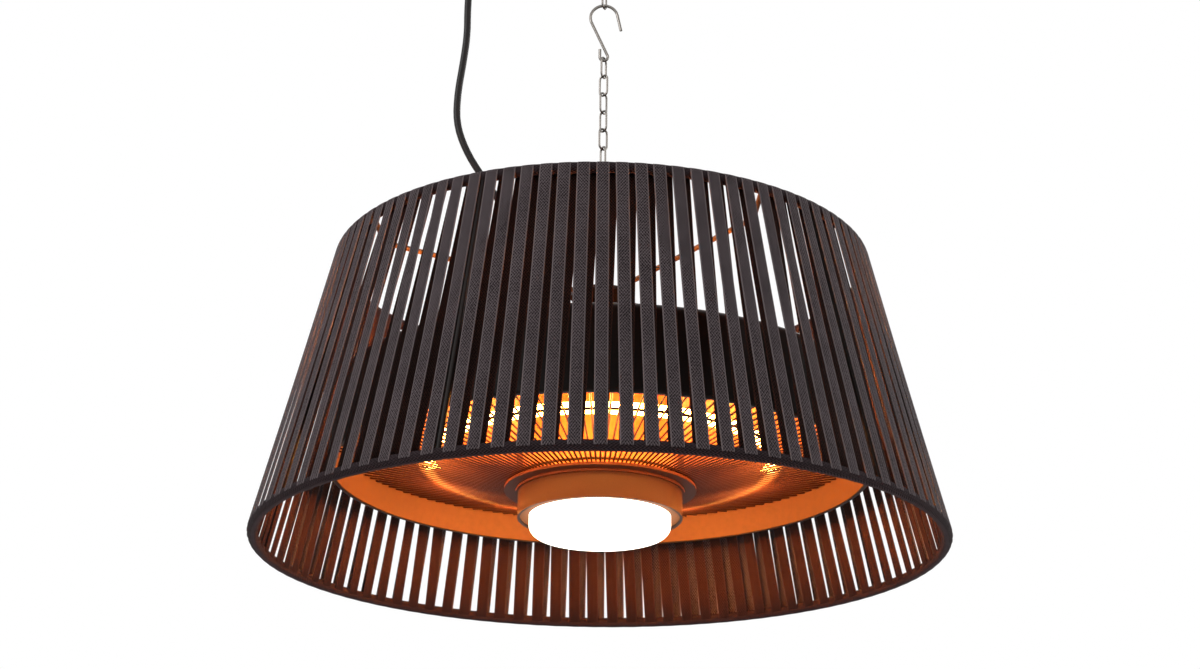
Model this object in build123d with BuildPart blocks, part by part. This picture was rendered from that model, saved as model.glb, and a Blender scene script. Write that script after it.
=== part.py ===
"""Hanging patio heater: a conical strap shade round a drum heater with a lamp below it.

Millimetres, +Z up. The origin is where the heater hangs: the inside of the top link's upper
bend. The chain, hook, shade, drum and lamp all stand on the Z axis below it.
"""
import os
from math import asin, atan2, copysign, cos, degrees, hypot, pi, radians, sin, sqrt, tan

from build123d import *

os.makedirs("parts", exist_ok=True)

# Clearances
loose_gap = 0.3
seat_gap = 0.1
cut_overrun = 5.0

# Chain and hook
link_wire = 2.0
link_inner_length = 18.5
link_inner_width = 6.4
upper_link_count = 10
lower_link_count = 11
upper_twist = 3.0
lower_twist = 6.0
lower_turn = 60.0
hook_wire = 2.8
hook_height = 57.1
hook_upper_radius = 12.7
hook_lower_radius = 3.7
hook_tip_lift = 12.0
hook_tip_length = 16.2
hook_close_length = 7.8

# Eye bolt
eye_wire = 4.0
eye_radius = 8.0
bolt_diameter = 8.0
bolt_tail = 12.0
nut_width = 13.0
nut_height = 6.5

# Shade
rim_radius = 295.3
top_radius = 233.7
ring_wire = 5.0
rod_diameter = 5.0
rod_count = 10
rod_turn = 155.6
wrap_thickness = 0.8
bottom_wrap_opening = 110.0
top_wrap_opening = 150.0
top_wrap_turn = 30.0
strap_width = 10.6
strap_thickness = 1.0
strap_count = 98
strap_overhang = 2.0
inner_lean_share = 0.5
inner_wander_share = 0.15
arm_count = 4
arm_turn = 34.0
arm_wire = 4.5
arm_drop = 20.0
arm_bend_radius = 9.0
arm_end_reach = 13.0
arm_side_gap = 0.9
arm_reach_share = 2.5
hub_radius = 28.0
hub_thickness = 3.0
eye_to_hub = 30.5

# Heater drum, heights above the lower rim of the shade
drum_floor = 62.0
drum_height = 77.5
drum_air_gap = 43.6
drum_taper = 5.5
drum_sheet = 1.0
drum_edge_radius = 9.0
lip_width = 5.0
lip_radius = 2.0
reflector_gap = 3.0
reflector_sheet = 0.8
reflector_corner = 12.0
reflector_lift = 12.5
insulation_thickness = 4.0
insulation_margin = 36.0
core_radius = 64.0
core_sheet = 1.0

# Connection box on top of the drum
box_radius = 66.0
box_height = 42.0
box_sheet = 1.5
box_corner = 6.0
box_flange_width = 11.0
box_to_hub = 48.0
box_foot_radius = 2.5
box_screw_count = 4
box_screw_turn = 45.0
screw_diameter = 4.0
screw_head_diameter = 7.5
screw_head_height = 2.4
screw_length = 4.0

# Element ring
element_inset = 86.5
element_tube = 10.0
element_bore = 8.0
element_gap_angle = 18.0
element_rise = 7.7
cap_width = 11.0
cap_height = 14.0
cap_length = 21.0
cap_post_diameter = 6.0
clip_count = 6
clip_turn = 0.0
clip_width = 6.0
clip_sheet = 0.8

# Grille
grille_wire = 1.8
grille_wire_sides = 6
grille_count = 136
grille_inner_inset = 7.3
grille_end_gap = 4.5
grille_outer_rise = 34.3
inner_ring_inset = 3.5
support_ring_gap = 2.4273
outer_ring_inset = 15.0
grille_ring_wire = 2.4
bracket_count = 6
bracket_width = 10.0
bracket_sheet = 1.2
bracket_height = 12.0
bracket_turn = 30.0

# Lamp in the middle
flange_margin = 12.0
flange_thickness = 2.4
flange_z = 48.8
flange_step_margin = 2.0
flange_step = 2.3
collar_radius = 71.3
collar_wall = 2.0
collar_floor = 24.3
bezel_thickness = 1.5
bezel_lift = 2.0
core_hole_radius = 20.0
diffuser_inset = 10.0
diffuser_wall = 2.0
diffuser_floor = 9.4
diffuser_corner = 9.0
board_margin = 9.3
board_thickness = 1.6
diffuser_lip = 4.5
diffuser_lip_thickness = 1.5
heat_sink_margin = 5.3
heat_sink_plate = 2.5
heat_sink_fin = 1.6
heat_sink_fin_pitch = 12.0
driver_length = 72.0
driver_width = 34.0
driver_height = 22.0
driver_edge = 2.0

# Parts inside the connection box
terminal_length = 30.0
terminal_width = 17.0
terminal_height = 15.0
terminal_offset = 34.0
terminal_screw = 4.0
terminal_ways = 3
cutout_diameter = 17.0
cutout_height = 9.0
cutout_offset = 38.0
cutout_edge = 1.0

# Cable gland and mains lead
gland_offset = 46.0
gland_base_diameter = 20.0
gland_base_height = 5.0
gland_dome_diameter = 17.0
gland_dome_height = 11.0
gland_dome_edge = 3.0
gland_sleeve_base = 12.5
gland_sleeve_tip = 9.2
gland_sleeve_length = 21.0
lead_diameter = 6.6
coil_pitch = 8.3
coil_inner_radius = 26.5
coil_turns_each = 3
coil_drop = 82.0
coil_samples = 900
lead_last_run = 11.6
corner_share = 0.45
coil_chain_gap = 2.0
tie_width = 11.0
tie_thickness = 1.2
tie_slack = 0.8
tie_corner = 4.0
tail_shift = 19.2
plug_sleeve_base = 11.0
plug_sleeve_tip = 8.6
plug_sleeve_length = 16.0
plug_diameter = 30.0
plug_length = 32.0
plug_edge = 3.0
pin_diameter = 4.8
pin_length = 19.0
pin_spacing = 19.0

# Shade height, which leaves room for the drum, its box and the hub
shade_height = drum_floor + drum_height + box_height + box_to_hub + hub_thickness / 2 + arm_drop

# Heights that follow down the chain
link_length = link_inner_length + link_wire
link_radius = (link_inner_width + link_wire) / 2
link_step = link_length - link_wire - loose_gap
top_link_z = link_wire / 2
hook_top_z = (
    top_link_z - link_length - (upper_link_count - 1) * link_step
    + (link_wire + hook_wire) / 2 + loose_gap
)
hook_bottom_z = hook_top_z - hook_height
lower_top_z = hook_bottom_z + (link_wire + hook_wire) / 2 + loose_gap
lower_bottom_z = lower_top_z - link_length - (lower_link_count - 1) * link_step
eye_top_z = lower_bottom_z + (link_wire + eye_wire) / 2 + loose_gap
eye_centre_z = eye_top_z - eye_radius
hub_z = eye_centre_z - eye_to_hub
top_ring_z = hub_z + hub_thickness / 2 + arm_drop
rim_z = top_ring_z - shade_height

# Shade slope
ring_radius = ring_wire / 2
wrap_radius = ring_radius + loose_gap + wrap_thickness
slant = hypot(shade_height, rim_radius - top_radius)
lean = degrees(atan2(rim_radius - top_radius, shade_height))
strap_offset = wrap_radius + loose_gap + strap_thickness / 2
strap_pitch = 360 / strap_count

# Lamp, flange and the grille's inner end, which follow the collar
flange_radius = collar_radius + flange_margin
flange_step_radius = collar_radius + flange_step_margin
grille_inner_radius = flange_radius - grille_inner_inset
inner_ring_radius = grille_inner_radius + inner_ring_inset
heat_sink_radius = collar_radius - heat_sink_margin
diffuser_radius = collar_radius - diffuser_inset
board_radius = diffuser_radius - board_margin

# Drum, which follows the shade
drum_mouth_radius = (
    rim_radius - (rim_radius - top_radius) * drum_floor / shade_height - drum_air_gap
)
drum_top_radius = drum_mouth_radius - drum_taper
insulation_radius = drum_top_radius - insulation_margin
element_radius = drum_mouth_radius - element_inset
drum_floor_z = rim_z + drum_floor
drum_top_z = drum_floor_z + drum_height
box_top_z = drum_top_z + box_height
reflector_floor_z = drum_floor_z + drum_sheet + seat_gap
reflector_top_z = drum_top_z - reflector_lift
reflector_mouth_radius = drum_mouth_radius - reflector_gap
reflector_top_radius = drum_top_radius - reflector_gap
grille_outer_radius = reflector_mouth_radius - grille_end_gap
support_ring_radius = element_radius + (element_tube + grille_ring_wire) / 2 + support_ring_gap
outer_ring_radius = grille_outer_radius - outer_ring_inset
flange_top_z = rim_z + flange_z + flange_thickness
step_floor_z = rim_z + flange_z - flange_step
grille_slope = grille_outer_rise / (grille_outer_radius - grille_inner_radius)
grille_inner_z = flange_top_z + grille_wire / 2 + seat_gap
element_z = (
    grille_inner_z + grille_slope * (element_radius - grille_inner_radius) + element_rise
)


def save(part, name):
    part.label = name
    export_step(part, f"parts/{name}.step")


def upright(turn, z):
    """A vertical plane through the Z axis at height z, turned about Z from the XZ plane."""
    return Plane(origin=(0, 0, z), x_dir=(cos(radians(turn)), sin(radians(turn)), 0),
                 z_dir=(sin(radians(turn)), -cos(radians(turn)), 0))


def chain_link(top_z, turn):
    """One welded link hanging from top_z, its plane turned about Z."""
    side = link_length - 2 * link_radius
    with BuildPart() as link:
        with BuildLine(upright(turn, top_z)):
            bend = CenterArc((0, -link_radius), link_radius, 0, 180)
            Line(bend @ 1, (-link_radius, -link_radius - side))
            foot = CenterArc((0, -link_radius - side), link_radius, 180, 180)
            Line(foot @ 1, bend @ 0)
        with BuildSketch(Plane(origin=bend @ 0, z_dir=bend % 0)):
            Circle(link_wire / 2)
        sweep()
    return link.part


def wire_ring(radius, z, wire):
    """A closed ring of round wire about the Z axis."""
    with BuildPart() as ring:
        with BuildSketch(Plane.XZ):
            with Locations((radius, z)):
                Circle(wire / 2)
        revolve(axis=Axis.Z)
    return ring.part


def reflector_radius(z):
    share = (z - reflector_floor_z) / (reflector_top_z - reflector_floor_z)
    return reflector_mouth_radius + share * (reflector_top_radius - reflector_mouth_radius)


def grille_z(radius):
    return grille_inner_z + grille_slope * (radius - grille_inner_radius)


# Chain: every second link stands edge-on, and both lengths are a little twisted
def upper_link_turn(index):
    return (90 if index % 2 else 0) - upper_twist * max(index - 1, 0)


def lower_link_turn(index):
    return lower_turn - (90 if index % 2 else 0) - lower_twist * index


save(chain_link(top_link_z, upper_link_turn(0)), "top_link")
save(chain_link(top_link_z - link_step, upper_link_turn(1)), "upper_link")
with BuildPart() as upper_chain:
    for index in range(2, upper_link_count):
        add(chain_link(top_link_z - index * link_step, upper_link_turn(index)))
save(upper_chain.part, "upper_chain")
for index in range(lower_link_count):
    link = chain_link(lower_top_z - index * link_step, lower_link_turn(index))
    save(link, f"lower_link_{index + 1:02d}")

# S-hook: a wide open loop above, a straight shank across, a narrow closed loop below
hook_cross = degrees(asin((hook_upper_radius + hook_lower_radius)
                          / (hook_height - hook_upper_radius - hook_lower_radius)))
tip_start = (hook_upper_radius * cos(radians(hook_tip_lift)),
             hook_upper_radius * (sin(radians(hook_tip_lift)) - 1))
tip_end = (tip_start[0] + hook_tip_length * sin(radians(hook_tip_lift)),
           tip_start[1] - hook_tip_length * cos(radians(hook_tip_lift)))
lower_eye = (0, hook_lower_radius - hook_height)
with BuildPart() as s_hook:
    with BuildLine(upright(0, hook_top_z)):
        tip = Line(tip_end, tip_start)
        crook = CenterArc((0, -hook_upper_radius), hook_upper_radius, hook_tip_lift,
                          180 + hook_cross - hook_tip_lift)
        foot = CenterArc(lower_eye, hook_lower_radius, hook_cross, -180 - hook_cross)
        Line(crook @ 1, foot @ 0)
        Line(foot @ 1, (-hook_lower_radius, lower_eye[1] + hook_close_length))
    with BuildSketch(Plane(origin=tip @ 0, z_dir=tip % 0)):
        Circle(hook_wire / 2)
    sweep()
save(s_hook.part, "s_hook")

# Eye bolt through the hub into the connection box, with a nut on each side of both
with BuildPart() as eye_bolt:
    with BuildSketch(Plane.XZ):
        # Turned, so that the wire's seam doesn't run along the bolt's end
        with Locations(Location((0, eye_centre_z + eye_radius, 0), (0, 0, 90))):
            Circle(eye_wire / 2)
    revolve(axis=Axis((0, 0, eye_centre_z), (1, 0, 0)))
    with BuildSketch(Plane.XY.offset(box_top_z - bolt_tail)):
        Circle(bolt_diameter / 2)
    extrude(amount=eye_centre_z - eye_radius - box_top_z + bolt_tail)
save(eye_bolt.part, "eye_bolt")

nut_floors = (hub_z + hub_thickness / 2, hub_z - hub_thickness / 2 - nut_height,
              box_top_z, box_top_z - box_sheet - nut_height)
with BuildPart() as bolt_nuts:
    for floor in nut_floors:
        with BuildSketch(Plane.XY.offset(floor)):
            RegularPolygon(nut_width / 2, 6, major_radius=False)
            Circle(bolt_diameter / 2 + seat_gap, mode=Mode.SUBTRACT)
        extrude(amount=nut_height)
save(bolt_nuts.part, "bolt_nuts")

# Shade frame: two rings, leaning rods, a hub and its arms
save(wire_ring(top_radius, top_ring_z, ring_wire), "top_ring")
save(wire_ring(rim_radius, rim_z, ring_wire), "bottom_ring")

rod_length = slant - ring_wire - 2 * seat_gap
with BuildPart() as frame_rods:
    with BuildSketch(Plane(origin=(rim_radius, 0, rim_z), x_dir=(0, 1, 0),
                           z_dir=(-sin(radians(lean)), 0, cos(radians(lean))))
                     .offset(ring_radius + seat_gap)):
        Circle(rod_diameter / 2)
    rod = extrude(amount=rod_length, mode=Mode.PRIVATE)
    with PolarLocations(0, rod_count, start_angle=rod_turn - 90):
        add(rod)
save(frame_rods.part, "frame_rods")

with BuildPart() as hub_plate:
    with BuildSketch(Plane.XY.offset(hub_z - hub_thickness / 2)):
        Circle(hub_radius)
        Circle(bolt_diameter / 2 + loose_gap, mode=Mode.SUBTRACT)
    extrude(amount=hub_thickness)
save(hub_plate.part, "hub_plate")

arm_end = (top_radius - (ring_radius + seat_gap) * cos(radians(45)),
           top_ring_z - (ring_radius + seat_gap) * sin(radians(45)))
with BuildPart() as shade_arms:
    with BuildLine(Plane.XZ) as arm_path:
        FilletPolyline((hub_radius + seat_gap, hub_z), (top_radius - arm_end_reach, hub_z), arm_end,
                       radius=arm_bend_radius)
    with BuildSketch(Plane(origin=arm_path.line @ 0, z_dir=arm_path.line % 0)):
        Circle(arm_wire / 2)
    arm = sweep(mode=Mode.PRIVATE)
    with PolarLocations(0, arm_count, start_angle=arm_turn - 90):
        add(arm)
save(shade_arms.part, "shade_arms")


def rim_wrap(radius, z, open_side, opening):
    """Strap wound round a ring, left open where the rods and arms meet it."""
    with BuildPart() as wrap:
        with BuildSketch(Plane.XZ):
            with BuildLine():
                CenterArc((radius, z), wrap_radius - wrap_thickness / 2, open_side + opening / 2,
                          360 - opening)
            trace(line_width=wrap_thickness)
        revolve(axis=Axis.Z)
    return wrap.part


save(rim_wrap(top_radius, top_ring_z, lean - 90 - top_wrap_turn, top_wrap_opening), "top_rim_wrap")
save(rim_wrap(rim_radius, rim_z, lean + 90, bottom_wrap_opening), "bottom_rim_wrap")

# Straps: the outer runs lie straight down the cone, the inner runs cross them at a slant
slope_out = (cos(radians(lean)), 0, sin(radians(lean)))
mid_radius = (rim_radius + top_radius) / 2
mid_z = (rim_z + top_ring_z) / 2
with BuildPart() as outer_straps:
    with BuildSketch(Plane(origin=(mid_radius, 0, mid_z), x_dir=(0, 1, 0), z_dir=slope_out)
                     .offset(strap_offset)):
        Rectangle(strap_width, slant + 2 * strap_overhang)
    strap = extrude(amount=strap_thickness / 2, both=True, mode=Mode.PRIVATE)
    with PolarLocations(0, strap_count, start_angle=-90):
        add(strap)
save(outer_straps.part, "outer_straps")


def on_shade(radius, turn, z):
    """A point of the inner straps' cone, turned from the front about Z."""
    inset = radius - strap_offset * cos(radians(lean))
    return Vector(inset * sin(radians(turn)), -inset * cos(radians(turn)),
                  z - strap_offset * sin(radians(lean)))


def drawn_aside(turn):
    """The turn of a strap's head, pushed sideways where it would meet an arm."""
    push = degrees(((strap_width + arm_wire) / 2 + arm_side_gap) / (top_radius - strap_offset))
    reach = arm_reach_share * strap_pitch
    for arm in range(arm_count):
        offset = (turn - arm_turn - arm * 360 / arm_count + 180) % 360 - 180
        if abs(offset) < reach:
            turn += copysign(push * (1 - abs(offset) / reach), offset)
    return turn


with BuildPart() as inner_straps:
    for index in range(strap_count):
        turn = index * strap_pitch
        shift = inner_wander_share * (1 - cos(radians(turn)))
        foot = on_shade(rim_radius, turn + shift * strap_pitch, rim_z)
        head = on_shade(top_radius, drawn_aside(turn + (shift + inner_lean_share) * strap_pitch),
                        top_ring_z)
        run = head - foot
        outward = Vector(sin(radians(turn)), -cos(radians(turn)), 0)
        across = run.cross(outward)
        with BuildSketch(Plane(origin=(foot + head) / 2, x_dir=across, z_dir=across.cross(run))):
            Rectangle(strap_width, run.length)
    extrude(amount=strap_thickness / 2, both=True)
save(inner_straps.part, "inner_straps")

# Heater drum: a spun pan, open below, with a lip round its mouth
screw_radius = box_radius + box_flange_width / 2
with BuildPart() as heater_housing:
    with BuildSketch(Plane.XZ):
        with BuildLine():
            FilletPolyline((core_hole_radius, drum_top_z - drum_sheet / 2),
                           (drum_top_radius - drum_sheet / 2, drum_top_z - drum_sheet / 2),
                           (drum_mouth_radius - drum_sheet / 2, drum_floor_z + drum_sheet / 2),
                           (drum_mouth_radius - lip_width, drum_floor_z + drum_sheet / 2),
                           radius=[drum_edge_radius, lip_radius])
        trace(line_width=drum_sheet)
    revolve(axis=Axis.Z)
    with BuildSketch(Plane.XY.offset(drum_top_z)):
        with PolarLocations(screw_radius, box_screw_count, start_angle=box_screw_turn):
            Circle(screw_diameter / 2 + seat_gap)
    extrude(amount=cut_overrun, both=True, mode=Mode.SUBTRACT)
save(heater_housing.part, "heater_housing")

with BuildPart() as reflector:
    with BuildSketch(Plane.XZ):
        with BuildLine():
            FilletPolyline((core_radius + loose_gap, reflector_top_z - reflector_sheet / 2),
                           (reflector_top_radius, reflector_top_z - reflector_sheet / 2),
                           (reflector_mouth_radius, reflector_floor_z), radius=reflector_corner)
        trace(line_width=reflector_sheet)
    revolve(axis=Axis.Z)
save(reflector.part, "reflector")

with BuildPart() as insulation_board:
    with BuildSketch(Plane.XY.offset(reflector_top_z + seat_gap)):
        Circle(insulation_radius)
        Circle(core_radius + loose_gap, mode=Mode.SUBTRACT)
    extrude(amount=insulation_thickness)
save(insulation_board.part, "insulation_board")

core_top_z = drum_top_z - drum_sheet - seat_gap
with BuildPart() as core_shell:
    with BuildSketch(Plane.XY.offset(flange_top_z + seat_gap)):
        Circle(core_radius)
    extrude(amount=core_top_z - flange_top_z - seat_gap)
    offset(amount=-core_sheet, openings=core_shell.faces().sort_by(Axis.Z)[0])
    with BuildSketch(Plane.XY.offset(core_top_z)):
        Circle(core_hole_radius)
    extrude(amount=-cut_overrun, mode=Mode.SUBTRACT)
save(core_shell.part, "core_shell")

# Connection box: a pressed cap screwed to the drum, with holes for the eye bolt and the gland
with BuildPart() as connection_box:
    with BuildSketch(Plane.XZ):
        with BuildLine():
            FilletPolyline((bolt_diameter / 2 + seat_gap, box_top_z - box_sheet / 2),
                           (box_radius - box_sheet / 2, box_top_z - box_sheet / 2),
                           (box_radius - box_sheet / 2, drum_top_z + seat_gap + box_sheet / 2),
                           (box_radius + box_flange_width, drum_top_z + seat_gap + box_sheet / 2),
                           radius=[box_corner, box_foot_radius])
        trace(line_width=box_sheet)
    revolve(axis=Axis.Z)
    with BuildSketch(Plane.XY.offset(drum_top_z)):
        with PolarLocations(screw_radius, box_screw_count, start_angle=box_screw_turn):
            Circle(screw_diameter / 2 + seat_gap)
    extrude(amount=cut_overrun, mode=Mode.SUBTRACT)
    with BuildSketch(Plane.XY.offset(box_top_z)):
        with Locations((-gland_offset, 0)):
            Circle(lead_diameter / 2 + seat_gap)
    extrude(amount=-cut_overrun, mode=Mode.SUBTRACT)
save(connection_box.part, "connection_box")

screw_seat_z = drum_top_z + box_sheet + 2 * seat_gap
with BuildPart() as box_screws:
    with BuildSketch(Plane.XY.offset(screw_seat_z)):
        with PolarLocations(screw_radius, box_screw_count, start_angle=box_screw_turn):
            Circle(screw_head_diameter / 2)
    extrude(amount=screw_head_height)
    chamfer(box_screws.edges().group_by(Axis.Z)[-1], screw_head_height / 3)
    with BuildSketch(Plane.XY.offset(screw_seat_z)):
        with PolarLocations(screw_radius, box_screw_count, start_angle=box_screw_turn):
            Circle(screw_diameter / 2)
    extrude(amount=-screw_length)
save(box_screws.part, "box_screws")

with BuildPart() as terminal_block:
    with BuildSketch(Plane.XY.offset(drum_top_z + seat_gap)):
        with Locations((terminal_offset, 0)):
            Rectangle(terminal_width, terminal_length)
    extrude(amount=terminal_height)
    with Locations(terminal_block.faces().sort_by(Axis.Z)[-1]):
        with GridLocations(0, terminal_length / terminal_ways, 1, terminal_ways):
            Hole(terminal_screw / 2, terminal_screw)
save(terminal_block.part, "terminal_block")

with BuildPart() as thermal_cutout:
    with BuildSketch(Plane.XY.offset(drum_top_z + seat_gap)):
        with Locations((0, cutout_offset)):
            Circle(cutout_diameter / 2)
    extrude(amount=cutout_height)
    chamfer(thermal_cutout.edges().group_by(Axis.Z)[-1], cutout_edge)
save(thermal_cutout.part, "thermal_cutout")

# Element: a quartz ring open at the back, held in two caps and a row of clips
reflector_under_z = reflector_top_z - reflector_sheet
with BuildPart() as element_ring:
    with BuildSketch(Plane.XZ):
        with Locations((element_radius, element_z)):
            Circle(element_tube / 2)
            Circle(element_bore / 2, mode=Mode.SUBTRACT)
    revolve(axis=Axis.Z, revolution_arc=360 - element_gap_angle)
    turned = element_ring.part.rotate(Axis.Z, 90 + element_gap_angle / 2)
save(turned, "element_ring")

with BuildPart() as element_caps:
    for side in (-1, 1):
        turn = 90 + side * element_gap_angle / 2
        end = Plane(origin=(element_radius * cos(radians(turn)), element_radius * sin(radians(turn)),
                            element_z + (cap_height - element_tube) / 2),
                    x_dir=(cos(radians(turn)), sin(radians(turn)), 0),
                    z_dir=(side * sin(radians(turn)), -side * cos(radians(turn)), 0))
        with BuildSketch(end.offset(seat_gap)):
            Rectangle(cap_width, cap_height)
        extrude(amount=cap_length)
        with BuildSketch(Plane(origin=end.offset(seat_gap + cap_length / 2).origin, z_dir=(0, 0, 1))):
            Circle(cap_post_diameter / 2)
        extrude(amount=reflector_under_z - seat_gap - end.origin.Z)
save(element_caps.part, "element_caps")

with BuildPart() as element_clips:
    with BuildSketch(Plane.XZ):
        with Locations((element_radius, element_z)):
            Circle(element_tube / 2 + seat_gap + clip_sheet)
            Rectangle(clip_sheet, reflector_under_z - seat_gap - element_z,
                      align=(Align.CENTER, Align.MIN))
            Circle(element_tube / 2 + seat_gap, mode=Mode.SUBTRACT)
    clip = extrude(amount=clip_width / 2, both=True, mode=Mode.PRIVATE)
    with PolarLocations(0, clip_count, start_angle=clip_turn):
        add(clip)
save(element_clips.part, "element_clips")

# Grille: radial wires on a shallow cone, rings laid over them, brackets to the reflector's wall
grille_run = hypot(grille_outer_radius - grille_inner_radius, grille_outer_rise)
grille_angle = atan2(grille_outer_rise, grille_outer_radius - grille_inner_radius)
with BuildPart() as grille_wires:
    with BuildSketch(Plane(origin=(grille_inner_radius, 0, grille_inner_z), x_dir=(0, 1, 0),
                           z_dir=(cos(grille_angle), 0, sin(grille_angle)))):
        RegularPolygon(grille_wire / 2, grille_wire_sides)
    wire = extrude(amount=grille_run, mode=Mode.PRIVATE)
    with PolarLocations(0, grille_count, start_angle=-90):
        add(wire)
save(grille_wires.part, "grille_wires")

ring_lift = ((grille_wire + grille_ring_wire) / 2 + seat_gap) / cos(grille_angle)
for radius, name in ((inner_ring_radius, "grille_inner_ring"), (support_ring_radius, "grille_support_ring"),
                     (outer_ring_radius, "grille_outer_ring")):
    save(wire_ring(radius, grille_z(radius) + ring_lift, grille_ring_wire), name)

bracket_z = (grille_z(grille_outer_radius) + grille_wire / 2 / cos(grille_angle) + seat_gap
             + bracket_sheet / 2)
bracket_top_z = bracket_z + bracket_height
wall_gap = (reflector_sheet + bracket_sheet) / 2 + loose_gap
with BuildPart() as grille_brackets:
    with BuildSketch(Plane.XZ):
        with BuildLine():
            FilletPolyline((outer_ring_radius - bracket_sheet, bracket_z),
                           (reflector_radius(bracket_z) - wall_gap, bracket_z),
                           (reflector_radius(bracket_top_z) - wall_gap, bracket_top_z),
                           radius=2 * bracket_sheet)
        trace(line_width=bracket_sheet)
    bracket = extrude(amount=bracket_width / 2, both=True, mode=Mode.PRIVATE)
    with PolarLocations(0, bracket_count, start_angle=bracket_turn):
        add(bracket)
save(grille_brackets.part, "grille_brackets")

# Lamp: flange, collar, bezel and opal diffuser, with the board and its heat sink inside
with BuildPart() as centre_flange:
    with BuildSketch(Plane.XY.offset(rim_z + flange_z)):
        Circle(flange_radius)
    extrude(amount=flange_thickness)
    with BuildSketch(Plane.XY.offset(step_floor_z)):
        Circle(flange_step_radius)
    extrude(amount=flange_step)
    with BuildSketch(Plane.XY.offset(step_floor_z)):
        Circle(core_hole_radius)
    extrude(amount=flange_step + flange_thickness, mode=Mode.SUBTRACT)
save(centre_flange.part, "centre_flange")

collar_floor_z = rim_z + collar_floor
with BuildPart() as lamp_collar:
    with BuildSketch(Plane.XY.offset(collar_floor_z)):
        Circle(collar_radius)
        Circle(collar_radius - collar_wall, mode=Mode.SUBTRACT)
    extrude(amount=step_floor_z - seat_gap - collar_floor_z)
save(lamp_collar.part, "lamp_collar")

bezel_z = collar_floor_z + bezel_lift
with BuildPart() as diffuser_bezel:
    with BuildSketch(Plane.XY.offset(bezel_z)):
        Circle(collar_radius - collar_wall - seat_gap)
        Circle(diffuser_radius + seat_gap, mode=Mode.SUBTRACT)
    extrude(amount=bezel_thickness)
save(diffuser_bezel.part, "diffuser_bezel")

lip_z = bezel_z + bezel_thickness + seat_gap
lip_top_z = lip_z + diffuser_lip_thickness
diffuser_floor_z = rim_z + diffuser_floor
with BuildPart() as diffuser:
    with BuildSketch(Plane.XY.offset(diffuser_floor_z)):
        Circle(diffuser_radius)
    extrude(amount=lip_top_z - diffuser_floor_z)
    fillet(diffuser.edges().group_by(Axis.Z)[0], diffuser_corner)
    offset(amount=-diffuser_wall, openings=diffuser.faces().sort_by(Axis.Z)[-1])
    with BuildSketch(Plane.XY.offset(lip_z)):
        Circle(diffuser_radius + diffuser_lip)
        Circle(diffuser_radius - diffuser_wall, mode=Mode.SUBTRACT)
    extrude(amount=diffuser_lip_thickness)
save(diffuser.part, "diffuser")

sink_z = lip_top_z + seat_gap
with BuildPart() as led_heat_sink:
    with BuildSketch(Plane.XY.offset(sink_z)):
        Circle(heat_sink_radius)
    extrude(amount=heat_sink_plate)
    with BuildSketch(Plane.XY.offset(sink_z + heat_sink_plate)):
        Circle(heat_sink_radius)
        with GridLocations(heat_sink_fin_pitch, 0, 2 * round(heat_sink_radius / heat_sink_fin_pitch), 1):
            Rectangle(heat_sink_fin_pitch - heat_sink_fin, 2 * heat_sink_radius, mode=Mode.SUBTRACT)
    extrude(amount=step_floor_z - seat_gap - sink_z - heat_sink_plate)
save(led_heat_sink.part, "led_heat_sink")

with BuildPart() as led_board:
    with BuildSketch(Plane.XY.offset(sink_z - seat_gap)):
        Circle(board_radius)
    extrude(amount=-board_thickness)
save(led_board.part, "led_board")

with BuildPart() as led_driver:
    with BuildSketch(Plane.XY.offset(flange_top_z + seat_gap)):
        Rectangle(driver_length, driver_width)
    extrude(amount=driver_height)
    fillet(led_driver.edges().filter_by(Axis.Z), driver_edge)
    fillet(led_driver.edges().group_by(Axis.Z)[-1], driver_edge)
save(led_driver.part, "led_driver")

# Cable gland on the box and the sleeve moulded round the lead
gland_z = box_top_z + seat_gap
dome_z = gland_z + gland_base_height
sleeve_z = dome_z + gland_dome_height
with BuildPart() as cable_gland:
    with BuildSketch(Plane.XY.offset(gland_z)):
        with Locations((-gland_offset, 0)):
            RegularPolygon(gland_base_diameter / 2, 6, major_radius=False)
    extrude(amount=gland_base_height)
    with BuildSketch(Plane.XY.offset(dome_z)):
        with Locations((-gland_offset, 0)):
            Circle(gland_dome_diameter / 2)
    extrude(amount=gland_dome_height)
    fillet(cable_gland.edges().group_by(Axis.Z)[-1], gland_dome_edge)
save(cable_gland.part, "cable_gland")

with BuildPart() as lead_sleeve:
    with BuildSketch(Plane.XY.offset(sleeve_z)):
        with Locations((-gland_offset, 0)):
            Circle(gland_sleeve_base / 2)
    with BuildSketch(Plane.XY.offset(sleeve_z + gland_sleeve_length)):
        with Locations((-gland_offset, 0)):
            Circle(gland_sleeve_tip / 2)
    loft()
save(lead_sleeve.part, "lead_sleeve")

# Mains lead: from the sleeve up over the shade to the coil, points from the sleeve's tip
coil_z = -coil_drop
coil_outer_radius = coil_inner_radius + coil_turns_each * coil_pitch
coil_x = -(link_radius + link_wire / 2 + coil_chain_gap + coil_outer_radius - coil_pitch / 2
           + lead_diameter / 2)
coil_layer_y = coil_pitch / 2
tip_z = sleeve_z + gland_sleeve_length
lead_start_x = coil_x - coil_outer_radius
lead_route = [
    (0, 0, 0), (0, 0, 15.5), (-10, 0, 40.5), (-27, 0, 68.5), (-44, 0, 97.5), (-63, 0, 125.5),
    (-79, 0, 151.5), (-89, 0, 179.5), (-89, 0, 209.5), (-84.5, 0, 242.5), (-81.5, 0, 271.5),
    (-82, -1, 297), (-81, -2, 323), (-74, -3, 348), (-65, -3.7, 370),
]
lead_points = [Vector(x - gland_offset, y, z + tip_z) for x, y, z in lead_route]
lead_points += [Vector(lead_start_x, -coil_layer_y, coil_z - lead_diameter - lead_last_run),
                Vector(lead_start_x, -coil_layer_y, coil_z - lead_diameter)]
lead_radii = []
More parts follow.
